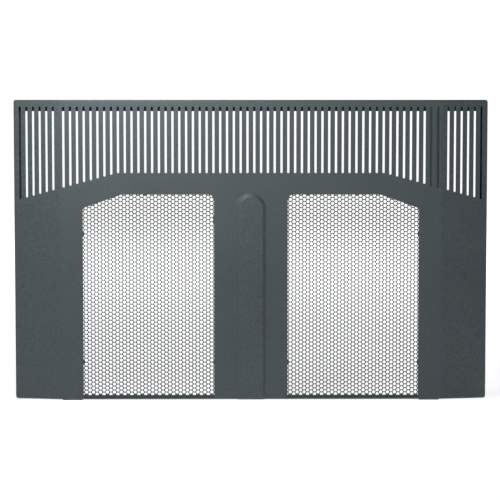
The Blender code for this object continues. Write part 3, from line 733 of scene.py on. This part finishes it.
def perforated(window, outline, studs, front, back):
    """A sheet of round holes in a 60 degree stagger, with a plain margin and stud holes.

    Each hole has a six-sided cell round it. A cell's points are two rings of twelve, the hole
    at radius d / 2 and the cell's border at p / 2, or p / (2 cos 30) at its corners, for holes
    d wide at a pitch p. The cells that fit inside the outline are laid by adding their middles.
    The rest of the sheet, between the cells and the outline, is filled with triangles.
    """
    step = np.array([window.pitch * math.cos(math.pi / 6), window.pitch])
    count = np.ceil(np.ptp(outline, axis=0) / step).astype(int) + 2
    column, row = np.meshgrid(np.arange(count[0]), np.arange(count[1]), indexing="ij")
    places = np.stack([column, row + 0.5 * (column % 2)], -1)
    middles = (outline.min(0) + places * step).reshape(-1, 2)
    limit = inward(outline, window.margin)
    kept = crossed(limit, np.roll(limit, -1, 0), middles) % 2 == 1
    away = np.linalg.norm(middles[:, None] - studs[None], axis=2).min(1)
    middles = middles[kept & (away > STUD_HOLE + window.pitch * STUD_ROOM)]
    turn = np.arange(RING) * 2 * np.pi / RING
    ring = np.stack([np.cos(turn), np.sin(turn)], -1)
    apothem = window.pitch / 2
    border = ring * np.where(np.arange(RING) % 2, apothem, apothem / math.cos(math.pi / 6))[:, None]
    hole = ring * window.hole / 2
    cells = [middles[:, None] + border, middles[:, None] + hole]
    layers = [(0, front), (1, front), (1, back), (0, back)]
    rows = [facing(cells[k].reshape(-1, 2), d).reshape(-1, RING, 3) for k, d in layers]
    points = np.stack(rows, 1).reshape(-1, 3)
    faces = grid_faces(len(layers), RING, True)
    starts = np.arange(len(middles)) * len(layers) * RING
    faces = (faces[None] + starts[:, None, None]).reshape(-1, 4)
    parts = [(points, faces)]

    rim = cells[0].reshape(-1, 2)
    ends = np.stack([np.arange(RING), np.roll(np.arange(RING), -1)], -1)
    ends = (ends[None] + (np.arange(len(middles)) * RING)[:, None, None]).reshape(-1, 2)
    # Borders of neighbouring cells meet: an edge that only one cell uses is on the outside.
    keys = np.round(rim / MERGE + MERGE_SHIFT).astype(np.int64)
    _, same, number = np.unique(keys, axis=0, return_index=True, return_inverse=True)
    ends = np.sort(number.reshape(-1)[ends], axis=1)
    single, uses = np.unique(ends, axis=0, return_counts=True)
    single = single[uses == 1]
    used, single = np.unique(single, return_inverse=True)
    zigzag = rim[same[used]]
    stud_loops = [arc(stud, STUD_HOLE, 360, 0, 16)[:-1] for stud in studs]
    loops = [outline, *stud_loops]
    points = np.concatenate([zigzag, *loops])
    edges = np.concatenate([single.reshape(-1, 2), loop_edges(loops) + len(zigzag)])
    flat, triangles = filled(points, edges)
    parts += [(facing(flat, front), triangles), (facing(flat, back), triangles[:, ::-1])]
    parts += [surface(np.stack([facing(loop, d) for d in (front, back)])) for loop in loops]
    return parts


class SCREEN_OT_perforated_sheets(bpy.types.Operator):
    """Builds the two perforated sheets behind the windows"""

    bl_idname = "screen.perforated_sheets"
    bl_label = "Perforated sheets"

    def execute(self, context):
        window = context.scene.screen_window
        for name, side in SIDES:
            node = f"{name}_perforated_sheet"
            low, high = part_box(node)
            outline = window_outline(window, PANEL_LOW.z, window.overlap, low.z)
            outline = mirrored(outline[::-1], side)
            parts = perforated(window, outline, nuts_of(name), low.y, high.y)
            make_piece(f"{name}_perforation", parts, SHEET_SLOT, "screen", [node], 40)
        return {"FINISHED"}


# Clamps -------------------------------------------------------------------------------
class SCREEN_OT_clamps(bpy.types.Operator):
    """Builds the clamp strips with their studs and nuts"""

    bl_idname = "screen.clamps"
    bl_label = "Clamp strips, studs and nuts"

    def execute(self, context):
        for name, _ in SIDES:
            for strip in ("inner", "outer", "top"):
                nuts = [f"{name}_{strip}_nut_{k}" for k in (1, 2)]
                self.make_strip(f"{name}_{strip}_clamp_strip", nuts)
                for nut in nuts:
                    make_nut(nut)
                    make_stud(nut, context.scene.screen_sheet)
        return {"FINISHED"}

    def make_strip(self, node, nuts):
        """A flat bar with rounded corners and a hole at each stud."""
        low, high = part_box(node)
        corners = [(low.x, low.z), (high.x, low.z), (high.x, high.z), (low.x, high.z)]
        loops = [rounded(corners, [SMALL_CORNER] * 4)]
        loops += [arc(middle_of(nut)[[0, 2]], STUD_HOLE, 360, 0, 20)[:-1] for nut in nuts]
        parts = plate(loops, low.y, high.y, STRIP_BURR, facing)
        make_piece(f"{node}_bar", parts, COAT_SLOT, "screen", [node])


def round_y(rows, along, turn, centre):
    """A closed surface round an axis along Y, from radii (rows, columns) at each distance along
    and each angle: x = r cos t, z = r sin t."""
    points = np.empty((len(rows), len(turn), 3))
    points[..., 0] = centre[0] + rows * np.cos(turn)
    points[..., 1] = along[:, None]
    points[..., 2] = centre[2] + rows * np.sin(turn)
    return surface(points)


def make_nut(node):
    """A hexagon nut. Its radius at an angle t is the smaller of a six-sided prism's,
    a / (2 cos(t mod 60 - 30)) for a nut a wide across its flats, and a chamfer cone's."""
    low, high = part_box(node)
    centre = middle_of(node)
    across = min(high.x - low.x, high.z - low.z)
    turn = np.linspace(0, 2 * np.pi, 72, endpoint=False)
    corner = across / 2 / math.cos(math.pi / 6)
    flats = across / 2 / np.cos((turn % (np.pi / 3)) - np.pi / 6)
    rise = high.y - low.y
    cut = NUT_CHAMFER * rise
    level = np.array([0, cut / 2, cut, rise / 2, rise - cut, rise - cut / 2, rise])
    chamfer = corner - np.maximum(cut - np.minimum(level, rise - level), 0) * NUT_CHAMFER_SLOPE
    radius = np.minimum(flats[None], chamfer[:, None])
    bore = np.full((1, len(turn)), STUD_HOLE)
    rows = np.concatenate([bore, radius, bore, bore])
    depth = np.concatenate([[0], level, [rise, 0]])
    part = round_y(rows, low.y + depth, turn, centre)
    make_piece(f"{node}_hexagon", [part], ZINC_SLOT, "screen", [node], 25)


def make_stud(nut, sheet):
    """A threaded weld stud: with w = (distance / pitch - angle / 360) mod 1, its radius is
    r - depth (1 - |2 w - 1|), and it tapers at both ends."""
    start = PANEL_LOW.y + sheet.rib_height + sheet.thickness
    along = np.linspace(0, STUD_REACH, 78)
    turn = np.linspace(0, 2 * np.pi, 20, endpoint=False)
    wave = (along[:, None] / THREAD_PITCH - turn[None] / (2 * np.pi)) % 1
    rows = STUD_RADIUS - THREAD_DEPTH * (1 - np.abs(2 * wave - 1))
    ends = np.clip(np.minimum(along, STUD_REACH - along) / THREAD_LEAD, 0, 1)
    rows = np.minimum(rows, STUD_RADIUS - THREAD_TAPER * (1 - ends[:, None]))
    pole = np.zeros((1, len(turn)))
    rows = np.concatenate([pole, rows, pole])
    along = np.concatenate([[0], along, [STUD_REACH]])
    part = round_y(rows, start + along, turn, middle_of(nut))
    make_piece(nut.replace("_nut_", "_stud_"), [part], ZINC_SLOT, "screen")


# Uprights and legs --------------------------------------------------------------------
class SCREEN_OT_uprights(bpy.types.Operator):
    """Builds the two channels behind the stiles"""

    bl_idname = "screen.uprights"
    bl_label = "Uprights"

    def execute(self, context):
        wall, bend, cut = 0.0015, 0.0025, 0.0004
        for name, _ in SIDES:
            low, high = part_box(f"{name}_upright")
            corners = [
                (low.x, high.y),
                (low.x, low.y),
                (high.x, low.y),
                (high.x, high.y),
                (high.x - wall, high.y),
                (high.x - wall, low.y + wall),
                (low.x + wall, low.y + wall),
                (low.x + wall, high.y),
            ]
            inner = bend - wall
            outline = rounded(corners, [cut, bend, bend, cut, cut, inner, inner, cut])
            parts = plate([outline], low.z, high.z, THIN_BURR, lying)
            node = f"{name}_upright"
            make_piece(f"{name}_channel", parts, COAT_SLOT, "screen", [node])
        return {"FINISHED"}


class SCREEN_OT_legs(bpy.types.Operator):
    """Builds the two triangular legs"""

    bl_idname = "screen.legs"
    bl_label = "Legs"

    def execute(self, context):
        for name, _ in SIDES:
            leg = f"{name}_leg"
            low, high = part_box(leg)
            parts = plate(leg_loops(low, high), low.x, high.x, LEG_BURR, sideways)
            make_piece(f"{leg}_plate", parts, COAT_SLOT, leg, [leg])
        return {"FINISHED"}


def leg_loops(low, high):
    """Outline of a leg as (y, z), and its triangular hole, with the metal on their left."""
    bar, heel, top, corner, heel_corner = 0.028, 0.030, 0.035, 0.012, 0.004
    outer = [
        (low.y, low.z),
        (high.y, low.z),
        (high.y, low.z + heel),
        (low.y + top, high.z),
        (low.y, high.z),
    ]
    edge = rounded(outer, [SMALL_CORNER, heel_corner, corner, corner, corner / 2])
    start, end = np.array(outer[2]), np.array(outer[3])
    run = (end - start) / np.linalg.norm(end - start)
    on_edge = start + np.array([-run[1], run[0]]) * bar
    front, floor = low.y + bar, low.z + bar
    back = on_edge[0] + run[0] * (floor - on_edge[1]) / run[1]
    peak = on_edge[1] + run[1] * (front - on_edge[0]) / run[0]
    hole = rounded([(front, floor), (back, floor), (front, peak)], [corner, corner, corner / 3])
    return [edge, hole[::-1]]


# Hinges, rivets and pads --------------------------------------------------------------
class SCREEN_OT_hinges(bpy.types.Operator):
    """Builds the leaves, knuckles and pins of the butt hinges"""

    bl_idname = "screen.hinges"
    bl_label = "Hinges"

    def execute(self, context):
        for name, side in SIDES:
            for place in ("lower", "upper"):
                label = f"{name}_{place}_hinge"
                make_pin(f"{label}_pin")
                make_leaf(label, "frame", side, "screen")
                make_leaf(label, "leg", side, f"{name}_leg")
        return {"FINISHED"}


def make_pin(node):
    """A headed pin, turned about the hinge's axis."""
    low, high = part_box(node)
    centre = (*middle_of(node)[:2], 0)
    radius, under = PIN_RADIUS, high.z - PIN_HEAD_HEIGHT
    profile = [(0, low.z), (radius - PIN_EASE, low.z), (radius, low.z + PIN_EASE)]
    profile += [(radius, under), (PIN_HEAD, under)]
    profile += dome(PIN_HEAD, under + PIN_RIM, PIN_HEAD_HEIGHT - PIN_RIM)
    make_piece(f"{node}_turned", [turned(profile, centre, 2)], ZINC_SLOT, "screen", [node])


def make_leaf(label, kind, side, body):
    """A leaf: a flat plate with rounded far corners, and its knuckles as rings round the pin."""
    node = f"{label}_{kind}_leaf"
    low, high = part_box(node)
    axis = middle_of(f"{label}_pin")
    away = 1 if kind == "leg" else -1
    outwards = side * away
    faces = axis[0] + outwards * (PLAY / 2 + np.array([0, LEAF_THICKNESS]))
    near, far = np.sort(faces)
    reach = high.y if away > 0 else low.y
    root = axis[1] + away * LEAF_ROOT
    corners = [(root, low.z), (reach, low.z), (reach, high.z), (root, high.z)]
    outline = rounded(corners, [0, LEAF_CORNER, LEAF_CORNER, 0])[::away]
    parts = plate([outline], near, far, THIN_BURR, sideways)
    third = (high.z - low.z) / 3
    spans = (0, 2) if kind == "frame" else (1,)
    inner, outer, ease = PIN_RADIUS + PLAY, BARREL_RADIUS, PLAY
    web_start, web_end = WEB_SPAN
    for k in spans:
        a, b = low.z + third * k + PLAY, low.z + third * (k + 1) - PLAY
        profile = [(inner, a + ease), (inner + ease, a), (outer - ease, a), (outer, a + ease)]
        profile += [(outer, b - ease), (outer - ease, b), (inner + ease, b), (inner, b - ease)]
        parts.append(turned([*profile, profile[0]], (axis[0], axis[1], 0), 2, 32))
        web = [(web_start, a), (web_end, a), (web_end, b), (web_start, b)]
        loop = (np.array(web) * (away, 1) + (axis[1], 0))[::away]
        parts += plate([loop], near, far, WEB_BURR, sideways)
    make_piece(f"{node}_pressed", parts, ZINC_SLOT, body, [node])


class SCREEN_OT_rivets(bpy.types.Operator):
    """Builds the domed rivets through the hinge leaves"""

    bl_idname = "screen.rivets"
    bl_label = "Rivets"

    def execute(self, context):
        for name, _ in SIDES:
            for kind, body in (("frame", "screen"), ("leg", f"{name}_leg")):
                for number in range(1, 5):
                    make_rivet(f"{name}_{kind}_rivet_{number}", body)
        return {"FINISHED"}


def make_rivet(node, body):
    """A rivet along X: a domed head, a shank and a second domed head."""
    low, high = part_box(node)
    centre = (0, *middle_of(node)[1:])
    start, end = low.x + RIVET_RISE, high.x - RIVET_RISE
    first = [(r, start - d) for r, d in dome(RIVET_HEAD, 0.0, RIVET_RISE)[::-1]]
    second = dome(RIVET_HEAD, end, RIVET_RISE)
    part = turned([*first, (RIVET_SHANK, start), (RIVET_SHANK, end), *second], centre, 0)
    make_piece(f"{node}_domed", [part], ZINC_SLOT, body, [node])


class SCREEN_OT_pads(bpy.types.Operator):
    """Builds the rubber pads under the panel and the legs"""

    bl_idname = "screen.pads"
    bl_label = "Pads"

    def execute(self, context):
        for name, _ in SIDES:
            pads = ((f"{name}_front_pad", "screen"), (f"{name}_leg_pad", f"{name}_leg"))
            for node, body in pads:
                low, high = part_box(node)
                corners = [(low.x, low.y), (high.x, low.y), (high.x, high.y), (low.x, high.y)]
                outline = rounded(corners, [SMALL_CORNER] * 4)
                parts = plate([outline], low.z, high.z, PAD_BURR, lying)
                make_piece(f"{node}_rubber", parts, RUBBER_SLOT, body, [node])
        return {"FINISHED"}


# Stage --------------------------------------------------------------------------------
FLOOR_REACH = 30.0
COVE_SPAN = (0.8, 2.5)  # distances between which the floor's glow grows
SOFT_BOXES = {  # width, place, and the height on the screen that it points at
    "key": (0.4, (-0.3, -0.6, 1.0), 0.42),
    "rear": (3.0, (0.4, 3.5, 3.2), 0.30),
}


class SCREEN_OT_stage(bpy.types.Operator):
    """Lays the floor, sets the lights and places the camera"""

    bl_idname = "screen.stage"
    bl_label = "Stage, lights and camera"

    def execute(self, context):
        scene = context.scene
        studio = scene.screen_studio
        scene.view_settings.view_transform = "Standard"
        self.lay_floor(scene)
        self.light(scene, studio)
        self.place_camera(scene, studio)
        return {"FINISHED"}

    def lay_floor(self, scene):
        """A white floor that glows, and more so further out, like a lit studio cove."""
        made, tree = blank("studio_floor")
        place = add(tree, "ShaderNodeTexCoord").outputs["Object"]
        away = add(tree, "ShaderNodeVectorMath", links={0: place}, operation="LENGTH")
        low, rise = scene.screen_studio.glow, scene.screen_studio.cove
        near, far = COVE_SPAN
        values = {"From Min": near, "From Max": far, "To Min": low, "To Max": low + rise}
        links = {"Value": away.outputs["Value"]}
        glow = add(tree, "ShaderNodeMapRange", values, links, interpolation_type="SMOOTHSTEP")
        tone = linear(scene.screen_colours.stage)
        values = {"Base Color": tone, "Roughness": 0.9, "Specular IOR Level": 0.0}
        values["Emission Color"] = (1, 1, 1, 1)
        finish_with(tree, values, {"Emission Strength": glow.outputs["Result"]})
        mesh = bpy.data.meshes.new("floor")
        signs = ((-1, -1), (1, -1), (1, 1), (-1, 1))
        corners = [(x * FLOOR_REACH, y * FLOOR_REACH, 0) for x, y in signs]
        mesh.from_pydata(corners, [], [(0, 1, 2, 3)])
        mesh.materials.append(made)
        floor = bpy.data.objects.new("floor", mesh)
        scene.collection.objects.link(floor)

    def light(self, scene, studio):
        """A soft box high on the left in front and a larger one behind, with dim surroundings
        that are white where the camera sees them."""
        world = bpy.data.worlds.new("studio")
        world.use_nodes = True
        tree = world.node_tree
        tree.nodes.clear()
        path = add(tree, "ShaderNodeLightPath").outputs["Is Camera Ray"]
        dim = add(tree, "ShaderNodeBackground", {"Color": (1, 1, 1, 1), "Strength": studio.sky})
        values = {"Color": (1, 1, 1, 1), "Strength": studio.white}
        seen = add(tree, "ShaderNodeBackground", values)
        mix = add(tree, "ShaderNodeMixShader", links={"Fac": path})
        tree.links.new(dim.outputs["Background"], mix.inputs[1])
        tree.links.new(seen.outputs["Background"], mix.inputs[2])
        add(tree, "ShaderNodeOutputWorld", links={"Surface": mix.outputs["Shader"]})
        scene.world = world
        for name, (size, place, height) in SOFT_BOXES.items():
            light = bpy.data.lights.new(name, "AREA")
            light.energy, light.size = getattr(studio, name), size
            lamp = bpy.data.objects.new(name, light)
            lamp.location = place
            aim = Vector((0, 0, height)) - Vector(place)
            lamp.rotation_euler = aim.to_track_quat("-Z", "Y").to_euler()
            lamp.visible_camera = False
            scene.collection.objects.link(lamp)

    def place_camera(self, scene, studio):
        """A long lens in front, a little left of the middle and tilted down."""
        camera = bpy.data.cameras.new("camera")
        camera.lens = studio.lens
        camera.clip_end = 100
        rig = bpy.data.objects.new("camera", camera)
        face = PANEL_LOW.y + scene.screen_sheet.rib_height
        rig.location = (studio.offset, face - studio.distance, PANEL_LOW.z + studio.height)
        rig.rotation_euler = Euler((math.pi / 2 - studio.tilt, 0, -studio.turn))
        scene.collection.objects.link(rig)
        scene.camera = rig


# Add-on -------------------------------------------------------------------------------
OPERATORS = (
    SCREEN_OT_front_panel,
    SCREEN_OT_perforated_sheets,
    SCREEN_OT_clamps,
    SCREEN_OT_uprights,
    SCREEN_OT_legs,
    SCREEN_OT_hinges,
    SCREEN_OT_rivets,
    SCREEN_OT_pads,
    SCREEN_OT_stage,
)


class SCREEN_PT_panel(bpy.types.Panel):
    """Lists the pieces of the screen"""

    bl_idname = "SCREEN_PT_panel"
    bl_label = "Fireplace screen"
    bl_space_type = "VIEW_3D"
    bl_region_type = "UI"
    bl_category = "Screen"

    def draw(self, context):
        for operator in OPERATORS:
            self.layout.operator(operator.bl_idname)
        for name in GROUPS:
            group = getattr(context.scene, name)
            box = self.layout.box()
            for key in group.bl_rna.properties.keys():
                if key not in ("rna_type", "name"):
                    box.prop(group, key)


GROUPS = {
    "screen_sheet": SheetSizes,
    "screen_vent": VentSizes,
    "screen_window": WindowSizes,
    "screen_colours": FinishColours,
    "screen_studio": StudioSizes,
}


def register():
    for made in (*GROUPS.values(), *OPERATORS, SCREEN_PT_panel):
        bpy.utils.register_class(made)
    for name, group in GROUPS.items():
        setattr(bpy.types.Scene, name, PointerProperty(type=group))


def unregister():
    for name in GROUPS:
        delattr(bpy.types.Scene, name)
    for made in reversed((*GROUPS.values(), *OPERATORS, SCREEN_PT_panel)):
        bpy.utils.unregister_class(made)


def main():
    register()
    for operator in OPERATORS:
        group, name = operator.bl_idname.split(".")
        getattr(getattr(bpy.ops, group), name)()
    bpy.context.view_layer.update()


if __name__ == "__main__":
    main()
